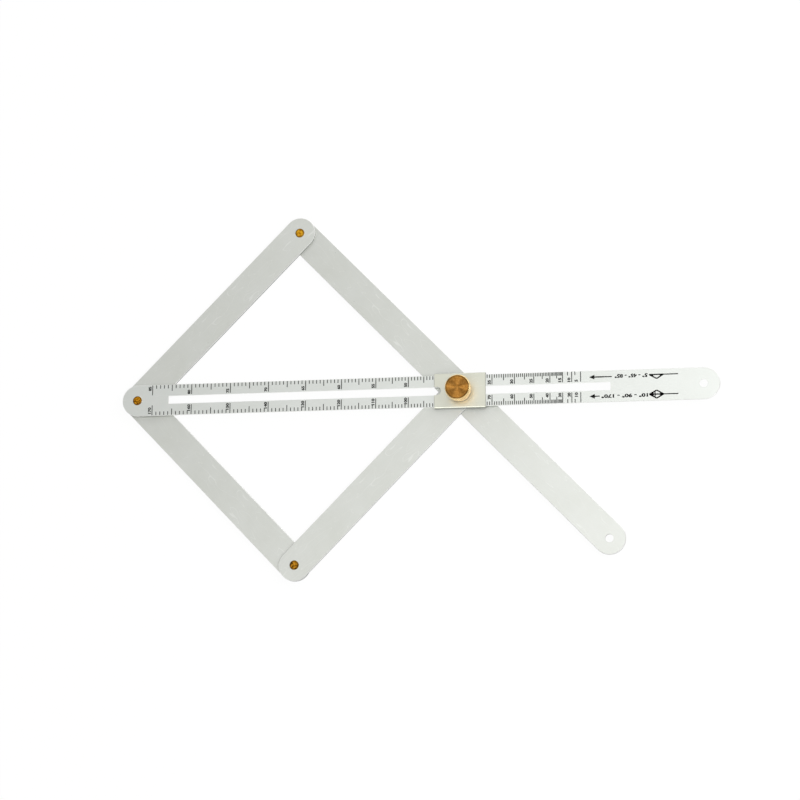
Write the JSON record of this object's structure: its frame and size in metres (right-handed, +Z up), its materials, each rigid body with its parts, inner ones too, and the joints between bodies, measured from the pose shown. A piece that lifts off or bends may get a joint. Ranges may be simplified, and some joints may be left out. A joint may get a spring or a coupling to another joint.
{
  "type": "bevel gauge",
  "caption": "Folding aluminium bevel gauge: a rhombus of flat bars on brass rivets, with a slotted scale arm and a clamped sliding plate that reads the angle.",
  "frame": {"origin": "centre of the bounding box's underside, on the surface that the rivet and bolt heads lie on", "axes": "+X along the scale arm, from the vertex rivet to the hanging hole; +Z up out of the printed face"},
  "size_m": [0.38, 0.2348, 0.018],
  "materials": {
    "bar_aluminium": "satin, fine lengthwise grain, edges broken",
    "plate_aluminium": "fine satin",
    "rivet_brass": "turned, slightly dulled",
    "knob_brass": "turned face, straight knurled side",
    "bolt_steel": "bright zinc plated",
    "washer_nylon": "natural, smooth"
  },
  "bodies": {
    "scale": {"scale_arm": "bar_aluminium", "vertex_rivet": "rivet_brass", "vertex_washer_upper": "washer_nylon"},
    "upper_left": {"upper_left_arm": "bar_aluminium", "vertex_washer_lower": "washer_nylon", "top_rivet": "rivet_brass", "top_washer": "washer_nylon"},
    "lower_left": {"lower_left_arm": "bar_aluminium"},
    "long": {"long_arm": "bar_aluminium"},
    "lower_right": {"lower_right_arm": "bar_aluminium", "bottom_rivet": "rivet_brass", "bottom_washer": "washer_nylon"},
    "slider": {"slider_plate": "plate_aluminium", "clamp_bolt": "bolt_steel", "slider_washer_upper": "washer_nylon", "slider_washer_lower": "washer_nylon", "bolt_head_washer": "washer_nylon"},
    "knob_seat": {"knob_washer": "knob_brass"},
    "knob": {"knob": "knob_brass"}
  },
  "joints": [
    {"name": "vertex_fold", "type": "hinge", "parent": "scale", "child": "upper_left", "pos_m": [-0.17998, 0, 0.0048], "axis": [0, 0, 1], "range_deg": [-40.72, 39.28]},
    {"name": "vertex_fold_lower", "type": "hinge", "parent": "scale", "child": "lower_left", "pos_m": [-0.17998, 0, 0.0048], "axis": [0, 0, 1], "range_deg": [-39.28, 40.72]},
    {"name": "top_pivot", "type": "hinge", "parent": "upper_left", "child": "long", "pos_m": [-0.07525, 0.10739, 0.003], "axis": [0, 0, 1], "range_deg": [-78.56, 81.44]},
    {"name": "bottom_pivot", "type": "hinge", "parent": "lower_left", "child": "lower_right", "pos_m": [-0.07525, -0.10739, 0.003], "axis": [0, 0, 1], "range_deg": [-81.44, 78.56]},
    {"name": "slider_pivot", "type": "hinge", "parent": "long", "child": "slider", "pos_m": [0.02947, 0, 0.003], "axis": [0, 0, 1], "range_deg": [-40.72, 39.28]},
    {"name": "knob_lift", "type": "slide", "parent": "slider", "child": "knob_seat", "axis": [0, 0, 1], "range_m": [0, 0.0016]},
    {"name": "knob_turn", "type": "hinge", "parent": "knob_seat", "child": "knob", "pos_m": [0.02947, 0, 0.0063], "axis": [0, 0, 1], "range_deg": [-5, 725]}
  ],
  "couplings": [
    {"joint": "vertex_fold_lower", "follows": "vertex_fold", "ratio": -1},
    {"joint": "top_pivot", "follows": "vertex_fold", "ratio": -2},
    {"joint": "bottom_pivot", "follows": "vertex_fold", "ratio": 2},
    {"joint": "slider_pivot", "follows": "vertex_fold", "ratio": 1},
    {"joint": "knob_turn", "follows": "knob_lift", "rad_per_m": 7854}
  ]
}
